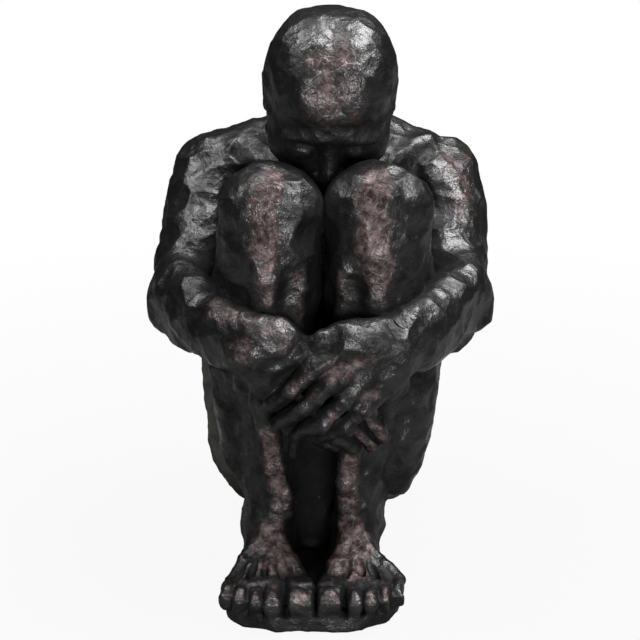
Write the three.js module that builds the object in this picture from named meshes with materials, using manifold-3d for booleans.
// Seated figure hugging its knees: a tabletop resin figurine, cast in pieces that are dowelled and glued.
// Millimetres, +Z up; the figure faces -Y, its left side is +X, the origin is under the middle of its box.
import * as THREE from "three";
import { LoftGeometry } from "three/addons/geometries/LoftGeometry.js";
import { mergeVertices } from "three/addons/utils/BufferGeometryUtils.js";
import Module from "manifold-3d";

const wasm = await Module();
wasm.setup();

const RIGHT = -1;
const LEFT = 1;

// Posture. OUT is the distance from the midline, BACK runs from the toes (negative) to the spine, UP is
// above the floor, and DROP is how far the left shoulder hangs and the right one lifts.
const HIP_OUT = 36;
const HIP_BACK = 50;
const HIP_UP = 46;
const KNEE_OUT = 27;
const KNEE_BACK = -53;
const KNEE_UP = 205;
const ANKLE_OUT = 25;
const ANKLE_BACK = -43;
const ANKLE_UP = 36;
const SHOULDER_OUT = 64;
const SHOULDER_BACK = 50;
const SHOULDER_UP = 198;
const SHOULDER_DROP = 1.5;
const ELBOW_OUT = 75;
const ELBOW_BACK = -20;
const ELBOW_UP = 148;
const WRIST_OUT = 34;
const WRIST_BACK = -83;
const WRIST_UP = 142;
const HEAD_BACK = -8;
const HEAD_UP = 255.5;
const HEAD_BOW = THREE.MathUtils.degToRad(38);
const HEAD_ROLL = THREE.MathUtils.degToRad(3);

// The body sways a little: how far each level stands to the figure's left of the middle.
const FEET_SWAY = -3.5;
const KNEE_SWAY = 2;
const SHOULDER_SWAY = 4;
const WRIST_SWAY = 1.5;
const HEAD_SWAY = 5;

// Limb girths. Each limb has its fullest width and depth. Its sections lie at shares of the bone, and are
// shares of that width and depth. The last share, of the depth, is how far the flesh bows off the bone:
// backwards, but outwards on a forearm.
const THIGH_WIDE = 55;
const THIGH_DEEP = 58;
const THIGH = girths(THIGH_WIDE, THIGH_DEEP, [
  [0.02, 0.95, 1, 0],
  [0.4, 1, 0.98, 0],
  [0.75, 0.96, 0.9, 0],
  [1, 0.93, 0.86, 0],
]);
const SHIN_WIDE = 51;
const SHIN_DEEP = 57;
const SHIN = girths(SHIN_WIDE, SHIN_DEEP, [
  [0.04, 0.98, 0.84, 0.035],
  [0.2, 1, 0.95, 0.14],
  [0.38, 0.96, 1, 0.21],
  [0.66, 0.73, 0.79, 0.12],
  [0.88, 0.51, 0.56, 0.02],
  [1, 0.53, 0.58, 0],
]);
const ARM_WIDE = 46;
const ARM_DEEP = 49;
const UPPER_ARM = girths(ARM_WIDE, ARM_DEEP, [
  [0, 1, 1, 0],
  [0.4, 0.83, 0.86, 0],
  [0.75, 0.68, 0.74, 0],
  [1, 0.68, 0.74, 0],
]);
const FOREARM_WIDE = 32;
const FOREARM_DEEP = 41;
const FOREARM = girths(FOREARM_WIDE, FOREARM_DEEP, [
  [0, 1, 1, 0],
  [0.35, 0.97, 0.98, 0.1],
  [0.75, 0.88, 0.88, 0.1],
  [1, 0.78, 0.8, 0],
]);

// Muscles of the limbs. A belly runs from one place to another, each a share of the bone and two offsets,
// and the offsets and the thickness are shares of the limb's width. On a thigh the offsets run outwards and
// up, and on an arm inwards to the bend of the elbow and up.
const THIGH_MUSCLES = [
  { name: "front", from: [0.12, 0.02, 0.16], to: [1, 0, 0.13], thick: 0.76 },
  { name: "outer", from: [0.24, 0.18, 0], to: [0.98, 0.16, 0.04], thick: 0.69 },
  { name: "inner", from: [0.5, -0.16, 0.05], to: [1.02, -0.16, 0.07], thick: 0.58 },
  { name: "hamstring", from: [0.1, 0.05, -0.2], to: [0.95, 0.07, -0.16], thick: 0.69 },
];
const ARM_MUSCLES = [
  { name: "biceps", from: [0.18, 0.15, 0.04], to: [1, 0.17, 0.04], thick: 0.59 },
  { name: "triceps", from: [0.1, -0.13, -0.17], to: [1, -0.2, -0.09], thick: 0.61 },
  { name: "outer triceps", from: [0.4, -0.2, 0.09], to: [0.98, -0.14, 0.11], thick: 0.41 },
];
const FOREARM_MUSCLES = [
  { name: "upper", from: [-0.15, -0.06, 0.42], to: [0.72, -0.12, 0.28], thick: 0.69 },
  { name: "outer", from: [-0.08, -0.13, -0.09], to: [0.7, -0.2, -0.06], thick: 0.75 },
  { name: "lower", from: [-0.1, 0.03, -0.38], to: [0.75, -0.03, -0.34], thick: 0.94 },
];
// The three heads of a deltoid start beside the shoulder, outwards, backwards and up from it in shares of the
// arm's width, and run together on the upper arm.
const DELTOID_HEADS = [
  [-0.13, -0.37, 0.17],
  [0.11, -0.07, 0.15],
  [0.02, 0.28, 0.09],
];
const DELTOID_TIE = [0.5, -0.28, 0.09];
const DELTOID_THICK = 0.56;
const DELTOID_FLAT = 0.9;
const DELTOID_OVER = 0.25;
const ELBOW_POINT = 0.26;
const ELBOW_BONE_DIA = 15;

// Knee and shin, outwards, backwards and up from the knee in shares of the shin's width.
const CALF_MUSCLES = [
  { name: "outer", from: [0.27, 0.51, -0.27], to: [0.24, 0.39, -3.2], thick: 0.82 },
  { name: "inner", from: [-0.18, 0.51, -0.5], to: [-0.1, 0.43, -2.55], thick: 0.71 },
];
const KNEE_BONES = [
  { name: "inner knuckle", at: [-0.2, -0.14, 0.04], size: [0.55, 0.63, 0.59] },
  { name: "outer knuckle", at: [0.22, -0.14, 0.04], size: [0.55, 0.63, 0.59] },
  { name: "inner head", at: [-0.2, -0.2, -0.39], size: [0.47, 0.47, 0.59] },
  { name: "outer head", at: [0.22, -0.2, -0.39], size: [0.47, 0.47, 0.59] },
  { name: "cap", at: [0, -0.39, -0.04], size: [0.55, 0.26, 0.78] },
];
const SHIN_RIDGE = [
  [0, -0.4, -0.3],
  [-0.02, -0.36, -1],
  [-0.04, -0.3, -2],
];
const RIDGE_THICK = 9;
const RIDGE_FOOT_AHEAD = 14;
const RIDGE_FOOT_UP = 4;
const HIP_DOME = 10;
const KNEE_DOME = 25;
const SHIN_DOME = 12;
const SHOULDER_DOME = 26;
const ELBOW_DOME = 17;
const WRIST_DOME = 8;

// Trunk sections up the spine, from the flat seat to the root of the neck, as shares: height, place of the
// middle to the back, width, depth, and sway of the shoulders.
const TRUNK_TALL = 220;
const TRUNK_BACK = 64;
const TRUNK_WIDE = 141;
const TRUNK_DEEP = 101;
const TRUNK = [
  [0, 1, 0.7, 0.8, 0],
  [0.1, 0.95, 0.85, 1, 0],
  [0.24, 0.98, 0.94, 1, 0],
  [0.37, 1.06, 1, 0.91, 0],
  [0.53, 1.12, 0.86, 0.82, 0.25],
  [0.68, 1.09, 0.86, 0.83, 0.5],
  [0.82, 1.02, 0.91, 0.78, 0.75],
  [0.93, 0.89, 0.79, 0.66, 1],
  [1, 0.78, 0.52, 0.54, 1.12],
];
const TRUNK_SIDES = 24;
const SEAT_DOME = 2;
const TRUNK_DOME = 10;
const BUTTOCK_OUT = 31;
const BUTTOCK_BACK = 57;
const BUTTOCK_UP = 46;
const BUTTOCK_WIDE = 64;
const BUTTOCK_DEEP = 92;
const BUTTOCK_TALL = 84;

// Forms of the trunk, out, back and up in shares of where the shoulder is. Each has a right and a left one.
const FLANK = { from: [0.38, 1.96, 0.46], to: [0.9, 1.32, 0.86], facing: [0.5, 0.8, 0.1] };
const FLANK_THICK = 34;
const FLANK_FLAT = 0.55;
const CHEST = { from: [0.06, 0.36, 0.97], to: [0.81, 0.6, 0.92], facing: [0, 1, 0] };
const CHEST_THICK = 36;
const CHEST_FLAT = 0.6;
const SPINE_MUSCLE = [
  [0.23, 2.01, 0.31],
  [0.22, 2.07, 0.5],
  [0.22, 2.01, 0.71],
];
const SPINE_MUSCLE_THICK = 22;
const COLLAR_BONE = [
  [0.16, 0.4, 1.01],
  [0.42, 0.5, 1.05],
  [0.63, 0.6, 1.08],
  [0.86, 0.8, 1.1],
];
const COLLAR_BONE_THICK = 10;
const BLADE_RIDGE = [
  [0.31, 1.87, 0.99],
  [0.6, 1.6, 1.04],
  [0.86, 1.34, 1.07],
];
const BLADE_RIDGE_THICK = 13;
const BLADE = [0.58, 1.86, 0.9];
const BLADE_WIDE = 44;
const BLADE_DEEP = 18;
const BLADE_TALL = 52;
const BLADE_TURN = THREE.MathUtils.degToRad(-24);
const FURROW_FIRST = 2;
const FURROW_LAST = 7;
const FURROW_WIDE = 12;
const FURROW_PROUD = 4.6;
const SPINE_KNOBS = 8;
const SPINE_KNOB_DIA = 9;
const SPINE_KNOB_SINK = 4.4;
const SPINE_KNOBS_LOW = 0.45;
const CLEFT_BEHIND = 16;
const CLEFT_WIDE = 9;
const CLEFT_DEEP = 22;
const CLEFT_TALL = 62;

// Shoulder girdle, from the middle of the back out to each shoulder.
const YOKE_BACK = 54;
const YOKE_UP = 217;
const YOKE_WIDE = 47;
const YOKE_DEEP = 46;
const YOKE = girths(YOKE_WIDE, YOKE_DEEP, [
  [0, 1, 0.94, 0],
  [0.4, 0.98, 0.98, 0.04],
  [0.8, 0.94, 1, 0],
]);
const YOKE_DOME = 8;
const GIRDLE_SIDES = 16;

// Head, in its own frame: the face looks along -Y and the origin lies between the ears. The face is a plain
// one. Its forms lie out, back and up from the origin, with width, depth and height, in shares of the
// skull's width.
const SKULL_WIDE = 69;
const SKULL_LONG = 80;
const SKULL_TALL = 76;
const SKULL_RAISE = 8;
const SKULL_BACK = 2;
const SINGLE_FORMS = [
  { name: "crown", at: [0, -0.03, 0.3], size: [0.93, 0.93, 0.76], sides: GIRDLE_SIDES },
  { name: "back of the head", at: [0, 0.28, 0.03], size: [0.8, 0.62, 0.72], sides: GIRDLE_SIDES },
  { name: "mouth", at: [0, -0.43, -0.42], size: [0.49, 0.3, 0.35] },
  { name: "lips", at: [0, -0.555, -0.45], size: [0.26, 0.12, 0.13] },
  { name: "chin", at: [0, -0.41, -0.63], size: [0.36, 0.32, 0.28] },
  { name: "tip of the nose", at: [0, -0.64, -0.22], size: [0.15, 0.15, 0.13] },
];
const PAIRED_FORMS = [
  { name: "cheek", at: [0.29, -0.32, -0.17], size: [0.32, 0.35, 0.25] },
  { name: "brow", at: [0.17, -0.49, 0.09], size: [0.38, 0.16, 0.12] },
  { name: "eyelid", at: [0.2, -0.46, -0.06], size: [0.24, 0.2, 0.18] },
  { name: "nostril", at: [0.08, -0.59, -0.25], size: [0.1, 0.14, 0.1] },
  { name: "ear", at: [0.46, 0.07, -0.06], size: [0.1, 0.2, 0.31] },
];
const EYE_SOCKET = { at: [0.2, -0.6, -0.05], size: [0.27, 0.23, 0.18] };
const JAW_WIDE = 60;
const JAW_DEEP = 60;
const JAW_TOP = [-0.12, -0.06];
const JAW_TIP = [-0.36, -0.64];
const JAW = girths(JAW_WIDE, JAW_DEEP, [
  [0, 1, 1, 0],
  [0.45, 0.9, 0.83, 0],
  [0.78, 0.7, 0.63, 0],
  [1, 0.4, 0.37, 0],
]);
const NOSE_TOP = [-0.5, 0.06];
const NOSE_TIP = [-0.63, -0.2];
const NOSE_WIDE = 8;
const JAW_DOME = 10;
const CHIN_DOME = 6;
const NAPE_BACK = 12;
const NAPE_UP = -20;

// Neck, from its root between the shoulders to the nape.
const NECK_ROOT_BACK = 46;
const NECK_ROOT_UP = 214;
const NECK_WIDE = 61;
const NECK_DEEP = 49;
const NECK = girths(NECK_WIDE, NECK_DEEP, [
  [0, 1, 1, 0],
  [0.5, 0.8, 0.96, 0],
  [1, 0.77, 0.94, 0],
]);
// Cords of the neck, each from a place on the head to one on the trunk, and how thick each end is
const NECK_CORDS = [
  { name: "front cord", head: [0.38, 0.12, -0.29], trunk: [0.14, 0.44, 1.05], thick: [12, 11] },
  { name: "slope to the shoulder", head: [0.13, 0.44, -0.22], trunk: [0.3, 1.14, 1.11], thick: [22, 28] },
];
const NECK_ROOT_DOME = 6;
const NAPE_DOME = 10;

// Feet and plinth. AHEAD is measured forwards from the ankle.
const PAD_THICK = 2;
const PLINTH_THICK = 8;
const PLINTH_TOE_WIDE = 102;
const PLINTH_HEEL_WIDE = 70;
const PLINTH_DEEP = 112;
const PLINTH_AHEAD = 20;
const PLINTH_SWAY = -4.3;
const PLINTH_ROUND = 1.5;
const PLINTH_SQUARENESS = 3.3;
const PLINTH_SIDES = 32;
const FOOT = [
  { ahead: -21, wide: 25, deep: 30, turn: -1 },
  { ahead: 2, wide: 27, deep: 35, turn: -1.5 },
  { ahead: 28, wide: 34, deep: 25, turn: -0.5 },
  { ahead: 52, wide: 42, deep: 15, turn: 1.5 },
];
const INSTEP_AHEAD = 20;
const INSTEP_UP = 17;
const INSTEP_SPREAD = 0.25;
const INSTEP_BONE = 10;
const SOLE_SINK = 1;
const HEEL_DOME = 12;
const BALL_DOME = 4;
const TOE_ROOT_AHEAD = 47;
const TOE_ARCH = 2;
const TOE_SINK = 0.5;
const TOE_ROOT_DOME = 3;
const TOE_TIP_DOME = 4;
const TOES = [
  { name: "big", out: -16, ahead: 70.5, wide: 11.5, deep: 12 },
  { name: "second", out: -4.5, ahead: 68.5, wide: 8.5, deep: 11 },
  { name: "third", out: 4, ahead: 67, wide: 8, deep: 10.5 },
  { name: "fourth", out: 11.5, ahead: 64, wide: 7.5, deep: 10 },
  { name: "little", out: 18.5, ahead: 58, wide: 7.5, deep: 9 },
];
const WEB_WIDE = 34;
const WEB_DEEP = 52;
const WEB_AHEAD = -35;
const WEB_UP = 104;
const WEB_FOOT_DOME = 4;
const WEB_TOP_DOME = 10;

// Hands, clasped between the wrists. Each finger runs from its knuckle over its bent joint to its tip, and
// each place is measured from the point midway between the wrists.
const FINGER_THICK = 10.4;
const FINGERTIP_THICK = 8.4;
const THUMB_THICK = 11;
const PALM_WIDE = 37;
const PALM_THICK = 13;
const PALM_ROOT_WIDE = 29;
const PALM_ROOT_THICK = 21;
const PALM_HEEL = 0.45;
const PALM_HEEL_WIDE = 31;
const PALM_HEEL_THICK = 18;
const PALM_DOME = 4;
const PALM_OVERLAP = 2;
const UPPER_HAND = {
  side: LEFT,
  fingers: [
    [clasp(7, -9.5, -2), clasp(-11, -12, -13), clasp(-28, 0, -32.5)],
    [clasp(14.5, -10.5, -8.5), clasp(-5, -13, -21), clasp(-25, 0, -39.5)],
    [clasp(20.5, -9.5, -15.5), clasp(3, -12, -27.5), clasp(-16, 0.5, -45)],
    [clasp(26, -7, -22), clasp(13, -9, -34), clasp(-4, 1, -47)],
  ],
  thumb: [clasp(21, -3, 6), clasp(1, -9, 7), clasp(-23, -7, -8.5)],
};
const LOWER_HAND = {
  side: RIGHT,
  fingers: [
    [clasp(10, 5, -21), clasp(21, 3, -34), clasp(30.5, 10, -51)],
    [clasp(3, 4, -29), clasp(13, 2.5, -41), clasp(25, 9, -55)],
    [clasp(-4, 5, -36), clasp(5.5, 3.5, -47.5), clasp(15.5, 10, -57)],
    [clasp(-11, 8, -42), clasp(-3, 7, -50), clasp(5, 12, -56)],
  ],
  thumb: [clasp(-22.5, 8, 3), clasp(-10.5, 6, 0), clasp(1.5, 9, -5)],
};

// Construction.
const GLUE_GAP = 0.3;
const WALL = 7;
const CAVITY_UP = 188;
const CAVITY_DOME = 8;
const LEDGE = 3;
const PLATE_THICK = 4;
const POUR_HOLE_DIA = 18;
const PLUG_CLEARANCE = 0.3;
const PLUG_LIP = 2;
const PLUG_LIP_THICK = 2;
const SHOULDER_CUT = 12;
const HIP_CUT = 12;
const NECK_CUT = 0.5;
const DOWEL_DIA = 6;
const DOWEL_LONG = 26;
const WRIST_DOWEL_DIA = 4;
const WRIST_DOWEL_LONG = 14;
const WRIST_DOWEL_INSET = 3;
const FOOT_DOWEL_LONG = 12;
const FOOT_DOWEL_AHEAD = 7;
const DOWEL_CLEARANCE = 0.3;
const LIMB_SIDES = 14;
const FINE_SIDES = 8;
const SMALL_SIDES = 6;
const BALL_ROWS_PER_SIDE = 0.75;
const DOWEL_SIDES = 12;
const DISC_SIDES = 24;
const PAD_DIA = 22;
const SEAT_PAD_OUT = 30;
const PLINTH_PAD_AHEAD = 23;

const PLINTH_TOP = PAD_THICK + PLINTH_THICK;
const FAR = 1000;
const UPWARD = new THREE.Vector3(0, 0, 1);
const BACKWARD = new THREE.Vector3(0, 1, 0);
const DOME_ANGLES = [32, 64].map(THREE.MathUtils.degToRad);

function spot(x, y, z) {
  return new THREE.Vector3(x, y, z);
}

function clasp(x, y, z) {
  return spot(WRIST_SWAY + x, WRIST_BACK + y, WRIST_UP + z);
}

// Limb sections worked out from the limb's fullest width and depth.
function girths(fullWide, fullDeep, shares) {
  return shares.map(([along, wide, deep, bow]) => ({
    along,
    wide: wide * fullWide,
    deep: deep * fullDeep,
    bow: bow * fullDeep,
  }));
}

// How much larger a polygon is drawn than its oval, so that both have the same area.
function rounding(sides) {
  const step = (2 * Math.PI) / sides;
  return Math.sqrt(step / Math.sin(step));
}

// Solids

// A closed three.js geometry as a solid that can be joined and cut.
function solid(geometry) {
  const bare = new THREE.BufferGeometry();
  bare.setAttribute("position", geometry.attributes.position);
  bare.setIndex(geometry.index);
  const merged = mergeVertices(bare, 1e-4);
  const vertProperties = new Float32Array(merged.attributes.position.array);
  const triVerts = new Uint32Array(merged.index.array);
  return new wasm.Manifold(new wasm.Mesh({ numProp: 3, vertProperties, triVerts }));
}

// The largest body of a solid: a cut can leave flash beside the casting, and that is trimmed off.
function casting(body) {
  const bodies = body.decompose();
  return bodies.reduce((a, b) => (a.volume() > b.volume() ? a : b));
}

function joined(solids) {
  return solids.reduce((a, b) => a.add(b));
}

function cutBy(body, cutters) {
  return cutters.reduce((a, b) => a.subtract(b), body);
}

// A skin through oval sections, domed at both ends. Each station has a centre and an oval's width and depth,
// and facing is the direction that the depth is measured along. grow makes the skin larger all round.
function skin(stations, facing, { startDome, endDome, sides = LIMB_SIDES, steps = 2, grow = 0 }) {
  const centres = new THREE.CatmullRomCurve3(stations.map((s) => s.at));
  const ovals = new THREE.CatmullRomCurve3(stations.map((s) => spot(s.wide, s.deep, 0)));
  const full = rounding(sides);
  const section = (share, shift, scale) => {
    const tangent = centres.getTangent(share);
    const centre = centres.getPoint(share).addScaledVector(tangent, shift);
    const over = facing.clone().addScaledVector(tangent, -facing.dot(tangent)).normalize();
    const across = over.clone().cross(tangent);
    const girth = ovals.getPoint(share);
    return Array.from({ length: sides }, (_, i) => {
      const angle = (2 * Math.PI * i) / sides;
      return centre
        .clone()
        .addScaledVector(across, Math.cos(angle) * ((girth.x / 2) * full + grow) * scale)
        .addScaledVector(over, Math.sin(angle) * ((girth.y / 2) * full + grow) * scale);
    });
  };
  const rings = (stations.length - 1) * steps;
  const dome = (share, reach) =>
    DOME_ANGLES.map((a) => section(share, Math.sin(a) * reach, Math.cos(a)));
  const sections = [
    ...dome(0, -(startDome + grow)).reverse(),
    ...Array.from({ length: rings + 1 }, (_, i) => section(i / rings, 0, 1)),
    ...dome(1, endDome + grow),
  ];
  return solid(new LoftGeometry(sections, { capStart: true, capEnd: true }));
}

// Stations of a limb segment along the bone from one joint to the next.
function alongBone(from, to, sections, bowing = BACKWARD) {
  return sections.map(({ along, wide, deep, bow }) => ({
    at: from.clone().lerp(to, along).addScaledVector(bowing, bow),
    wide,
    deep,
  }));
}

// An upright body of oval sections with flat ends, such as a plate.
function ovalSlab(levels, back) {
  const sections = levels.map(({ up, wide, deep }) =>
    Array.from({ length: TRUNK_SIDES }, (_, i) => {
      const angle = (2 * Math.PI * i) / TRUNK_SIDES;
      return spot((Math.cos(angle) * wide) / 2, back + (Math.sin(angle) * deep) / 2, up);
    }),
  );
  return solid(new LoftGeometry(sections, { capStart: true, capEnd: true }));
}

// An oval body turned by a set of axes: its width lies along the first, its depth along the second.
function ball(centre, [wide, deep, tall], { axes = new THREE.Matrix4(), sides = FINE_SIDES, grow = 0 } = {}) {
  const geometry = new THREE.SphereGeometry(rounding(sides) / 2, sides, sides * BALL_ROWS_PER_SIDE);
  geometry.scale(wide + 2 * grow, deep + 2 * grow, tall + 2 * grow);
  geometry.applyMatrix4(axes).translate(centre.x, centre.y, centre.z);
  return solid(geometry);
}

// An oval muscle belly from one point to another, flattened along the way it faces.
function belly(from, to, thick, { flat = 1, facing = UPWARD, grow = 0 } = {}) {
  const along = to.clone().sub(from);
  const length = along.length();
  along.normalize();
  const across = along.clone().cross(facing).normalize();
  const axes = new THREE.Matrix4().makeBasis(across, along, across.clone().cross(along));
  return ball(from.clone().lerp(to, 0.5), [thick, length, thick * flat], { axes, grow });
}

// A round cord through a list of points, from one thickness to another.
function cord(points, startThick, endThick, facing, grow = 0) {
  const stations = points.map((at, i) => {
    const thick = THREE.MathUtils.lerp(startThick, endThick, i / (points.length - 1));
    return { at, wide: thick, deep: thick };
  });
  const domes = { startDome: startThick / 2, endDome: endThick / 2 };
  return skin(stations, facing, { ...domes, sides: FINE_SIDES, steps: 1, grow });
}

// A round bar on an axis through its middle.
function bar(middle, axis, diameter, length, sides = DOWEL_SIDES) {
  const geometry = new THREE.CylinderGeometry(diameter / 2, diameter / 2, length, sides);
  const turn = new THREE.Quaternion().setFromUnitVectors(BACKWARD, axis.clone().normalize());
  geometry.applyQuaternion(turn).translate(middle.x, middle.y, middle.z);
  return solid(geometry);
}

// Everything on the far side of a plane, as a block.
function beyond(point, normal) {
  const direction = normal.clone().normalize();
  const turn = new THREE.Quaternion().setFromUnitVectors(UPWARD, direction);
  const centre = point.clone().addScaledVector(direction, FAR / 2);
  const geometry = new THREE.BoxGeometry(FAR, FAR, FAR);
  geometry.applyQuaternion(turn).translate(centre.x, centre.y, centre.z);
  return solid(geometry);
}

// Joints

const hip = (side) => spot(side * HIP_OUT, HIP_BACK, HIP_UP);
const knee = (side) => spot(side * KNEE_OUT + KNEE_SWAY, KNEE_BACK, KNEE_UP);
const footSpot = (side, out, ahead, up) =>
  spot(side * (ANKLE_OUT + out) + FEET_SWAY, ANKLE_BACK - ahead, up);
const ankle = (side) => footSpot(side, 0, 0, ANKLE_UP);
const shoulder = (side) =>
  spot(side * SHOULDER_OUT + SHOULDER_SWAY, SHOULDER_BACK, SHOULDER_UP - side * SHOULDER_DROP);
const elbow = (side) => spot(side * ELBOW_OUT, ELBOW_BACK, ELBOW_UP);
const wrist = (side) => spot(side * WRIST_OUT + WRIST_SWAY, WRIST_BACK, WRIST_UP);
const nape = () => spot(0, NAPE_BACK, NAPE_UP).applyMatrix4(headPlace());
const neckRoot = () => spot(SHOULDER_SWAY, NECK_ROOT_BACK, NECK_ROOT_UP);

// A place on the trunk, in shares of where the shoulder is.
const onTrunk = (side, [out, back, up]) =>
  spot(SHOULDER_SWAY + side * out * SHOULDER_OUT, back * SHOULDER_BACK, up * SHOULDER_UP);
// A place on the head, in shares of the skull's width.
const onHead = (side, [out, back, up]) =>
  spot(side * out, back, up).multiplyScalar(SKULL_WIDE).applyMatrix4(headPlace());
// A place beside the knee, in shares of the shin's width.
const byKnee = (side, [out, back, up]) =>
  knee(side).add(spot(side * out, back, up).multiplyScalar(SHIN_WIDE));

// Where two castings meet: a point on the glue face and the way from the first casting to the second.
const hipJoint = (side) => {
  const way = knee(side).sub(hip(side)).normalize();
  return { point: hip(side).addScaledVector(way, HIP_CUT), way };
};
const shoulderJoint = (side) => ({
  point: shoulder(side).addScaledVector(spot(side, 0, 0), -SHOULDER_CUT),
  way: spot(side, 0, 0),
});
const wristJoint = (side) => ({
  point: wrist(side),
  way: wrist(side).sub(elbow(side)).normalize(),
});
const wristPin = (side) => {
  const { point, way } = wristJoint(side);
  return { point: point.addScaledVector(way, -WRIST_DOWEL_INSET), way };
};
const neckJoint = () => ({
  point: neckRoot().lerp(nape(), NECK_CUT),
  way: nape().sub(neckRoot()).normalize(),
});
const footJoint = (side) => ({
  point: footSpot(side, 0, FOOT_DOWEL_AHEAD, PLINTH_TOP),
  way: UPWARD.clone(),
});

function headPlace() {
  return new THREE.Matrix4()
    .makeTranslation(HEAD_SWAY, HEAD_BACK, HEAD_UP)
    .multiply(new THREE.Matrix4().makeRotationX(HEAD_BOW))
    .multiply(new THREE.Matrix4().makeRotationY(HEAD_ROLL));
}

// A dowel across a joint, and the socket for it in the two castings.
function dowel(joint, diameter, length) {
  return bar(joint.point, joint.way, diameter, length);
}
function socket(joint, diameter, length) {
  return dowel(joint, diameter + 2 * DOWEL_CLEARANCE, length + 2 * DOWEL_CLEARANCE);
}
const bigSocket = (joint) => socket(joint, DOWEL_DIA, DOWEL_LONG);
const wristSocket = (joint) => socket(joint, WRIST_DOWEL_DIA, WRIST_DOWEL_LONG);
const footSocket = (joint) => socket(joint, DOWEL_DIA, FOOT_DOWEL_LONG);

// Body forms. Each can be grown, to cut a seat for itself in its neighbour.

function footForm(side, grow) {
  const stations = FOOT.map(({ ahead, wide, deep, turn }) => ({
    at: footSpot(side, turn, ahead, PLINTH_TOP + deep / 2 - SOLE_SINK),
    wide,
    deep: deep + 2 * SOLE_SINK,
  }));
  const sole = skin(stations, UPWARD, { startDome: HEEL_DOME, endDome: BALL_DOME, grow });
  const toes = TOES.map(({ out, ahead, wide, deep }) => {
    const lift = PLINTH_TOP + deep / 2 - TOE_SINK;
    const bend = (TOE_ROOT_AHEAD + ahead) / 2;
    const toe = [
      {
        at: footSpot(side, out * INSTEP_SPREAD, INSTEP_AHEAD, PLINTH_TOP + INSTEP_UP),
        wide: INSTEP_BONE,
        deep: INSTEP_BONE,
      },
      { at: footSpot(side, out, TOE_ROOT_AHEAD, lift + TOE_ARCH), wide, deep },
      { at: footSpot(side, out, bend, lift + TOE_ARCH), wide, deep },
      { at: footSpot(side, out, ahead, lift), wide, deep },
    ];
    return skin(toe, UPWARD, {
      startDome: TOE_ROOT_DOME,
      endDome: TOE_TIP_DOME,
      sides: FINE_SIDES,
      steps: 1,
      grow,
    });
  });
  return joined([sole, ...toes]);
}

function legForm(side, grow = 0) {
  const thighStations = alongBone(hip(side), knee(side), THIGH);
  const shinStations = alongBone(knee(side), ankle(side), SHIN);
  const way = knee(side).sub(hip(side));
  const upper = way.clone().cross(spot(1, 0, 0)).normalize();
  const onThigh = ([share, out, up]) =>
    hip(side)
      .addScaledVector(way, share)
      .addScaledVector(spot(side, 0, 0), out * THIGH_WIDE)
      .addScaledVector(upper, up * THIGH_WIDE);
  const thigh = joined([
    skin(thighStations, BACKWARD, { startDome: HIP_DOME, endDome: KNEE_DOME, grow }),
    ...THIGH_MUSCLES.map((m) => belly(onThigh(m.from), onThigh(m.to), m.thick * THIGH_WIDE, { grow })),
  ]);
  const ridge = SHIN_RIDGE.map((place) => byKnee(side, place));
  ridge.push(ankle(side).add(spot(0, -RIDGE_FOOT_AHEAD, RIDGE_FOOT_UP)));
  const shin = [
    skin(shinStations, BACKWARD, { startDome: SHIN_DOME, endDome: SHIN_DOME, grow }),
    ...CALF_MUSCLES.map((m) =>
      belly(byKnee(side, m.from), byKnee(side, m.to), m.thick * SHIN_WIDE, { facing: BACKWARD, grow }),
    ),
    ...KNEE_BONES.map(({ at, size }) =>
      ball(
        byKnee(side, at),
        size.map((share) => share * SHIN_WIDE),
        { grow },
      ),
    ),
    cord(ridge, RIDGE_THICK, RIDGE_THICK, BACKWARD, grow),
  ];
  const joint = hipJoint(side);
  const face = joint.point.addScaledVector(joint.way, -grow);
  return joined([thigh.subtract(beyond(face, joint.way.negate())), ...shin, footForm(side, grow)]).subtract(
    beyond(spot(0, 0, PLINTH_TOP + GLUE_GAP - grow), spot(0, 0, -1)),
  );
}

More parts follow.
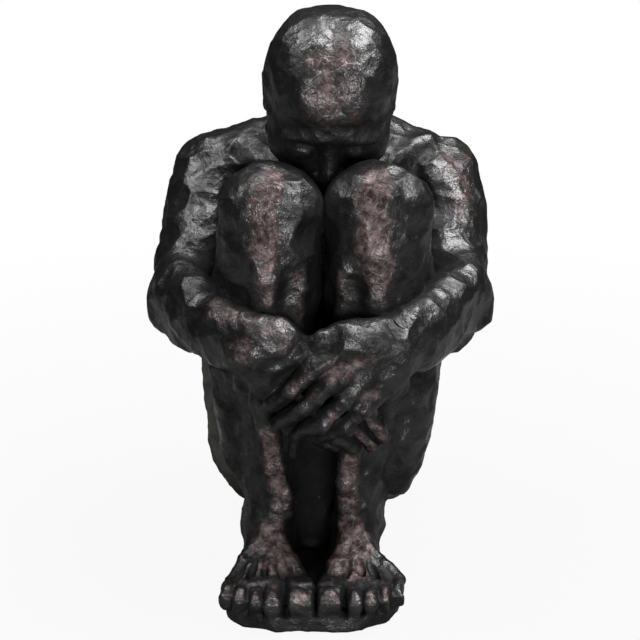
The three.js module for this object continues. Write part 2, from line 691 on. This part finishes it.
function armForm(side, grow = 0) {
  const down = elbow(side).sub(shoulder(side));
  const on = wrist(side).sub(elbow(side));
  const inward = on.clone().projectOnPlane(down.clone().normalize()).normalize();
  const upper = inward.clone().cross(down).multiplyScalar(side).normalize();
  const outward = on.clone().cross(UPWARD).multiplyScalar(-side).normalize();
  const onArm = ([share, inner, up]) =>
    shoulder(side)
      .addScaledVector(down, share)
      .addScaledVector(inward, inner * ARM_WIDE)
      .addScaledVector(upper, up * ARM_WIDE);
  const onForearm = ([share, inner, up]) =>
    elbow(side)
      .addScaledVector(on, share)
      .addScaledVector(inward, inner * FOREARM_WIDE)
      .addScaledVector(upper, up * FOREARM_WIDE);
  const deltoid = DELTOID_HEADS.map(([out, back, up]) => {
    const tie = onArm(DELTOID_TIE);
    const head = shoulder(side).add(spot(side * out, back, up).multiplyScalar(ARM_WIDE));
    head.z += side * SHOULDER_DROP;
    const from = head.clone().lerp(tie, -DELTOID_OVER);
    return belly(from, tie, DELTOID_THICK * ARM_WIDE, { flat: DELTOID_FLAT, grow });
  });
  const armStations = alongBone(shoulder(side), elbow(side), UPPER_ARM);
  const upperArm = joined([
    skin(armStations, UPWARD, { startDome: SHOULDER_DOME, endDome: ELBOW_DOME, grow }),
    ...deltoid,
    ...ARM_MUSCLES.map((m) => belly(onArm(m.from), onArm(m.to), m.thick * ARM_WIDE, { grow })),
  ]);
  const forearmStations = alongBone(elbow(side), wrist(side), FOREARM, outward);
  const point = down.clone().normalize().sub(on.clone().normalize()).normalize();
  const forearm = joined([
    skin(forearmStations, UPWARD, { startDome: ELBOW_DOME, endDome: WRIST_DOME, grow }),
    ...FOREARM_MUSCLES.map((m) =>
      belly(onForearm(m.from), onForearm(m.to), m.thick * FOREARM_WIDE, { grow }),
    ),
    ball(elbow(side).addScaledVector(point, ELBOW_POINT * ARM_WIDE), Array(3).fill(ELBOW_BONE_DIA), {
      sides: SMALL_SIDES,
      grow,
    }),
  ]);
  const inner = shoulderJoint(side);
  const outer = wristJoint(side);
  const innerFace = inner.point.addScaledVector(inner.way, -grow);
  const outerFace = outer.point.addScaledVector(outer.way, grow);
  return upperArm
    .subtract(beyond(innerFace, inner.way.negate()))
    .add(forearm.subtract(beyond(outerFace, outer.way)));
}

function handForm({ side, fingers, thumb }, grow = 0) {
  const knuckles = fingers.map((f) => f[0]);
  const middle = knuckles.reduce((a, b) => a.clone().add(b), spot(0, 0, 0)).divideScalar(knuckles.length);
  const across = knuckles.at(-1).clone().sub(knuckles[0]);
  const way = middle.clone().sub(wrist(side));
  const thickness = across.cross(way);
  const joint = wristJoint(side);
  const root = wrist(side).addScaledVector(joint.way, -PALM_OVERLAP);
  const palm = skin(
    [
      { at: root, wide: PALM_ROOT_WIDE, deep: PALM_ROOT_THICK },
      { at: wrist(side).lerp(middle, PALM_HEEL), wide: PALM_HEEL_WIDE, deep: PALM_HEEL_THICK },
      { at: middle, wide: PALM_WIDE, deep: PALM_THICK },
    ],
    thickness,
    { startDome: PALM_DOME, endDome: PALM_DOME, grow },
  );
  const digit = (points, thick, tipThick) =>
    skin(
      points.map((at, i) => ({ at, wide: i < 2 ? thick : tipThick, deep: i < 2 ? thick : tipThick })),
      thickness,
      { startDome: thick / 2, endDome: tipThick / 2, sides: FINE_SIDES, grow },
    );
  const digits = [
    ...fingers.map((f) => digit(f, FINGER_THICK, FINGERTIP_THICK)),
    digit(thumb, THUMB_THICK, FINGERTIP_THICK),
  ];
  const face = joint.point.addScaledVector(joint.way, GLUE_GAP - grow);
  return joined([palm, ...digits]).subtract(beyond(face, joint.way.negate()));
}

function headForm(grow = 0) {
  const axes = new THREE.Matrix4().extractRotation(headPlace());
  const facing = BACKWARD.clone().transformDirection(headPlace());
  const feature = (side, { at, size, sides: round }, growth) =>
    ball(
      onHead(side, at),
      size.map((share) => share * SKULL_WIDE),
      { axes, sides: round, grow: growth },
    );
  const skull = ball(
    spot(0, SKULL_BACK, SKULL_RAISE).applyMatrix4(headPlace()),
    [SKULL_WIDE, SKULL_LONG, SKULL_TALL],
    { axes, sides: GIRDLE_SIDES, grow },
  );
  const jawStations = alongBone(onHead(0, [0, ...JAW_TOP]), onHead(0, [0, ...JAW_TIP]), JAW);
  const jaw = skin(jawStations, facing, { startDome: JAW_DOME, endDome: CHIN_DOME, grow });
  const nose = [NOSE_TOP, NOSE_TIP].map((place) => onHead(0, [0, ...place]));
  const sockets = sides.map((side) => feature(side, EYE_SOCKET, -grow));
  const joint = neckJoint();
  const neck = neckForm(grow).subtract(
    beyond(joint.point.addScaledVector(joint.way, -grow), joint.way.negate()),
  );
  return joined([
    cutBy(skull.add(jaw), sockets),
    cord(nose, NOSE_WIDE, NOSE_WIDE, facing, grow),
    neck,
    ...SINGLE_FORMS.map((form) => feature(RIGHT, form, grow)),
    ...sides.flatMap((side) => PAIRED_FORMS.map((form) => feature(side, form, grow))),
  ]);
}

function neckForm(grow = 0) {
  const stations = alongBone(neckRoot(), nape(), NECK);
  const neck = skin(stations, BACKWARD, {
    startDome: NECK_ROOT_DOME,
    endDome: NAPE_DOME,
    sides: GIRDLE_SIDES,
    grow,
  });
  const cords = sides.flatMap((side) =>
    NECK_CORDS.map(({ head, trunk, thick }) =>
      cord([onHead(side, head), onTrunk(side, trunk)], ...thick, BACKWARD, grow),
    ),
  );
  return joined([neck, ...cords]);
}

function yokeForm() {
  const middle = spot(SHOULDER_SWAY, YOKE_BACK, YOKE_UP);
  const [rightHalf, leftHalf] = sides.map((side) => alongBone(middle, shoulder(side), YOKE));
  const stations = [...rightHalf.slice(1).reverse(), ...leftHalf];
  return skin(stations, UPWARD, { startDome: YOKE_DOME, endDome: YOKE_DOME, sides: GIRDLE_SIDES });
}

function trunkStations(inset = 0) {
  return TRUNK.map(([up, back, wide, deep, sway]) => ({
    at: spot(sway * SHOULDER_SWAY, back * TRUNK_BACK, up * TRUNK_TALL),
    wide: wide * TRUNK_WIDE - 2 * inset,
    deep: deep * TRUNK_DEEP - 2 * inset,
  }));
}

// Muscles and bones that show on the back and the chest.
function trunkReliefs() {
  return sides.flatMap((side) => {
    const muscle = ({ from, to, facing: [x, y, z] }, thick, flat) =>
      belly(onTrunk(side, from), onTrunk(side, to), thick, { flat, facing: spot(side * x, y, z) });
    const bone = (path, thick) => {
      const points = path.map((place) => onTrunk(side, place));
      return cord(points, thick, thick, BACKWARD);
    };
    const turn = new THREE.Matrix4().makeRotationZ(side * BLADE_TURN);
    return [
      muscle(FLANK, FLANK_THICK, FLANK_FLAT),
      muscle(CHEST, CHEST_THICK, CHEST_FLAT),
      bone(SPINE_MUSCLE, SPINE_MUSCLE_THICK),
      bone(COLLAR_BONE, COLLAR_BONE_THICK),
      bone(BLADE_RIDGE, BLADE_RIDGE_THICK),
      ball(onTrunk(side, BLADE), [BLADE_WIDE, BLADE_DEEP, BLADE_TALL], { axes: turn }),
    ];
  });
}

// Places down the middle of the back, as far proud of the trunk as asked.
function backLine(proud) {
  return trunkStations()
    .slice(FURROW_FIRST, FURROW_LAST + 1)
    .map(({ at, deep }) => at.clone().add(spot(0, deep / 2 + proud, 0)));
}

function spineFurrow() {
  return cord(backLine(FURROW_PROUD), FURROW_WIDE, FURROW_WIDE, BACKWARD);
}

function spineKnobs() {
  const line = new THREE.CatmullRomCurve3(backLine(-SPINE_KNOB_SINK));
  return Array.from({ length: SPINE_KNOBS }, (_, i) => {
    const share = THREE.MathUtils.lerp(SPINE_KNOBS_LOW, 1, i / (SPINE_KNOBS - 1));
    return ball(line.getPoint(share), Array(3).fill(SPINE_KNOB_DIA), { sides: SMALL_SIDES });
  });
}

function webForm(grow = 0) {
  const stations = [PAD_THICK, WEB_UP / 2, WEB_UP].map((up) => ({
    at: spot(FEET_SWAY, ANKLE_BACK - WEB_AHEAD, up),
    wide: WEB_WIDE,
    deep: WEB_DEEP,
  }));
  const web = skin(stations, BACKWARD, { startDome: WEB_FOOT_DOME, endDome: WEB_TOP_DOME, steps: 1, grow });
  return web.subtract(beyond(spot(0, 0, PAD_THICK), spot(0, 0, -1)));
}

// Castings, each cut to seat against the ones before it

const sides = [RIGHT, LEFT];
const legs = { [RIGHT]: legForm(RIGHT) };
legs[LEFT] = legForm(LEFT).subtract(legForm(RIGHT, GLUE_GAP));
const legSeats = sides.map((side) => legForm(side, GLUE_GAP));

const arms = { [RIGHT]: cutBy(armForm(RIGHT), legSeats) };
arms[LEFT] = cutBy(armForm(LEFT), legSeats);
const armSeats = sides.map((side) => armForm(side, GLUE_GAP));

const lowerHand = cutBy(handForm(LOWER_HAND), [...legSeats, armSeats[1]]);
const upperHand = cutBy(handForm(UPPER_HAND), [...legSeats, handForm(LOWER_HAND, GLUE_GAP), armSeats[0]]);

const headCasting = cutBy(headForm(), legSeats).subtract(bigSocket(neckJoint()));

// The plinth's outline follows the feet: it widens from the heels to the toes, with full corners.
function plinthRing(up, inset) {
  const fill = (value) => Math.sign(value) * Math.abs(value) ** (2 / PLINTH_SQUARENESS);
  return Array.from({ length: PLINTH_SIDES }, (_, i) => {
    const angle = (2 * Math.PI * i) / PLINTH_SIDES;
    const behind = fill(Math.sin(angle));
    const wide = THREE.MathUtils.mapLinear(behind, -1, 1, PLINTH_TOE_WIDE, PLINTH_HEEL_WIDE);
    const y = ANKLE_BACK - PLINTH_AHEAD + behind * (PLINTH_DEEP / 2 - inset);
    return spot(PLINTH_SWAY + fill(Math.cos(angle)) * (wide / 2 - inset), y, up);
  });
}

function plinthCasting() {
  const rings = [
    plinthRing(PAD_THICK, PLINTH_ROUND),
    plinthRing(PAD_THICK + PLINTH_ROUND, 0),
    plinthRing(PLINTH_TOP - PLINTH_ROUND, 0),
    plinthRing(PLINTH_TOP, PLINTH_ROUND),
  ];
  const slab = solid(new LoftGeometry(rings, { capStart: true, capEnd: true }));
  const sockets = sides.map((side) => footSocket(footJoint(side)));
  return cutBy(slab.add(webForm()), [...legSeats, ...sockets]);
}

// The oval opening under the trunk, at the level of the floor pads.
function seatOpening() {
  const { at, wide, deep } = trunkStations(WALL)[0];
  return { back: at.y, wide, deep };
}

// The trunk's hollow: it keeps a wall everywhere, also round the seats of the legs and round the dowels.
function cavity() {
  const seat = seatOpening();
  const inner = trunkStations(WALL).filter((s) => s.at.z < CAVITY_UP);
  const room = skin(inner, BACKWARD, {
    startDome: SEAT_DOME,
    endDome: CAVITY_DOME,
    sides: TRUNK_SIDES,
    steps: 1,
  });
  const mouthLevels = [0, PAD_THICK + PLATE_THICK + WALL].map((up) => ({ ...seat, up }));
  const mouth = ovalSlab(mouthLevels, seat.back);
  const walls = sides.flatMap((side) => [
    legForm(side, WALL),
    socket(hipJoint(side), DOWEL_DIA + 2 * WALL, DOWEL_LONG + 2 * WALL),
    armForm(side, WALL),
  ]);
  return casting(cutBy(room.add(mouth), [...walls, webForm(WALL)]));
}

function plateSolid(grow) {
  const seat = seatOpening();
  const levels = [PAD_THICK - grow, PAD_THICK + PLATE_THICK + grow].map((up) => ({
    up,
    wide: seat.wide + 2 * LEDGE + 2 * grow,
    deep: seat.deep + 2 * LEDGE + 2 * grow,
  }));
  return ovalSlab(levels, seat.back);
}

function trunkCasting() {
  const trunk = skin(trunkStations(), BACKWARD, {
    startDome: SEAT_DOME,
    endDome: TRUNK_DOME,
    sides: TRUNK_SIDES,
  });
  const buttocks = sides.map((side) =>
    ball(spot(side * BUTTOCK_OUT, BUTTOCK_BACK, BUTTOCK_UP), [BUTTOCK_WIDE, BUTTOCK_DEEP, BUTTOCK_TALL], {
      sides: GIRDLE_SIDES,
    }),
  );
  const between = spot(0, BUTTOCK_BACK + BUTTOCK_DEEP / 2 + CLEFT_BEHIND, BUTTOCK_UP);
  const cleft = ball(between, [CLEFT_WIDE, CLEFT_DEEP, CLEFT_TALL]);
  const flesh = cutBy(joined([trunk, ...buttocks, ...trunkReliefs()]), [spineFurrow(), cleft]);
  const body = joined([flesh, yokeForm(), neckForm(), ...spineKnobs()]);
  const standing = body.subtract(beyond(spot(0, 0, PAD_THICK), spot(0, 0, -1)));
  const seats = [...legSeats, ...armSeats, headForm(GLUE_GAP), webForm(GLUE_GAP)];
  const sockets = sides.flatMap((side) => [bigSocket(hipJoint(side)), bigSocket(shoulderJoint(side))]);
  return cutBy(standing, [...seats, cavity(), plateSolid(GLUE_GAP), ...sockets, bigSocket(neckJoint())]);
}

const pourHole = () => spot(0, seatOpening().back, PAD_THICK + PLATE_THICK / 2);

function basePlate() {
  return plateSolid(0).subtract(bar(pourHole(), UPWARD, POUR_HOLE_DIA, 3 * PLATE_THICK, DISC_SIDES));
}

// A rubber plug pushed up through the pour hole, with a lip that holds it above the plate.
function fillPlug() {
  const radius = POUR_HOLE_DIA / 2 - PLUG_CLEARANCE;
  const lipBottom = PLATE_THICK + PLUG_CLEARANCE;
  const profile = [
    [0, 0],
    [radius, 0],
    [radius, lipBottom],
    [radius + PLUG_LIP, lipBottom],
    [radius, lipBottom + PLUG_LIP_THICK],
    [0, lipBottom + PLUG_LIP_THICK],
  ].map(([r, h]) => new THREE.Vector2(r, h));
  const geometry = new THREE.LatheGeometry(profile, DISC_SIDES);
  geometry.rotateX(Math.PI / 2).translate(0, seatOpening().back, PAD_THICK);
  return solid(geometry);
}

function feltPad({ x, y }) {
  const geometry = new THREE.CylinderGeometry(PAD_DIA / 2, PAD_DIA / 2, PAD_THICK, DISC_SIDES);
  geometry.rotateX(Math.PI / 2).translate(x, y, PAD_THICK / 2);
  return solid(geometry);
}

// Materials and nodes

const patina = new THREE.MeshStandardMaterial({ color: 0x1d1a19, roughness: 0.42, metalness: 0.15 });
const bareResin = new THREE.MeshStandardMaterial({ color: 0x5b554d, roughness: 0.7, metalness: 0 });
const steel = new THREE.MeshStandardMaterial({ color: 0xa8a9ab, roughness: 0.35, metalness: 1 });
const rubber = new THREE.MeshStandardMaterial({ color: 0x141414, roughness: 0.85, metalness: 0 });
const felt = new THREE.MeshStandardMaterial({ color: 0x2b2a29, roughness: 1, metalness: 0 });

function node(name, body, material) {
  const { numProp, vertProperties, triVerts } = body.getMesh();
  const positions = vertProperties.filter((_, i) => i % numProp < 3);
  const geometry = new THREE.BufferGeometry();
  geometry.setAttribute("position", new THREE.BufferAttribute(positions, 3));
  geometry.setIndex(new THREE.BufferAttribute(triVerts, 1));
  geometry.computeVertexNormals();
  const mesh = new THREE.Mesh(geometry, material);
  mesh.name = name;
  return mesh;
}

const figure = new THREE.Group();
figure.add(node("torso", casting(trunkCasting()), patina));
figure.add(node("head", casting(headCasting), patina));
figure.add(node("foot_plinth", casting(plinthCasting()), patina));
figure.add(node("base_plate", basePlate(), bareResin));
figure.add(node("fill_plug", fillPlug(), rubber));
figure.add(node("neck_dowel", dowel(neckJoint(), DOWEL_DIA, DOWEL_LONG), steel));
for (const side of sides) {
  const label = side === RIGHT ? "right" : "left";
  const hand = side === RIGHT ? lowerHand : upperHand;
  const leg = cutBy(legs[side], [bigSocket(hipJoint(side)), footSocket(footJoint(side))]);
  const arm = cutBy(arms[side], [bigSocket(shoulderJoint(side)), wristSocket(wristPin(side))]);
  figure.add(node(`${label}_leg`, casting(leg), patina));
  figure.add(node(`${label}_arm`, casting(arm), patina));
  figure.add(node(`${label}_hand`, casting(hand.subtract(wristSocket(wristPin(side)))), patina));
  figure.add(node(`${label}_hip_dowel`, dowel(hipJoint(side), DOWEL_DIA, DOWEL_LONG), steel));
  figure.add(node(`${label}_shoulder_dowel`, dowel(shoulderJoint(side), DOWEL_DIA, DOWEL_LONG), steel));
  figure.add(node(`${label}_wrist_dowel`, dowel(wristPin(side), WRIST_DOWEL_DIA, WRIST_DOWEL_LONG), steel));
  figure.add(node(`${label}_foot_dowel`, dowel(footJoint(side), DOWEL_DIA, FOOT_DOWEL_LONG), steel));
  figure.add(node(`${label}_seat_pad`, feltPad(spot(side * SEAT_PAD_OUT, seatOpening().back, 0)), felt));
  figure.add(node(`${label}_plinth_pad`, feltPad(footSpot(side, 0, PLINTH_PAD_AHEAD, 0)), felt));
}

// The origin goes to the middle of the box, on the floor.
const middle = new THREE.Box3().setFromObject(figure).getCenter(spot(0, 0, 0));
figure.position.set(-middle.x, -middle.y, 0);

export default figure;
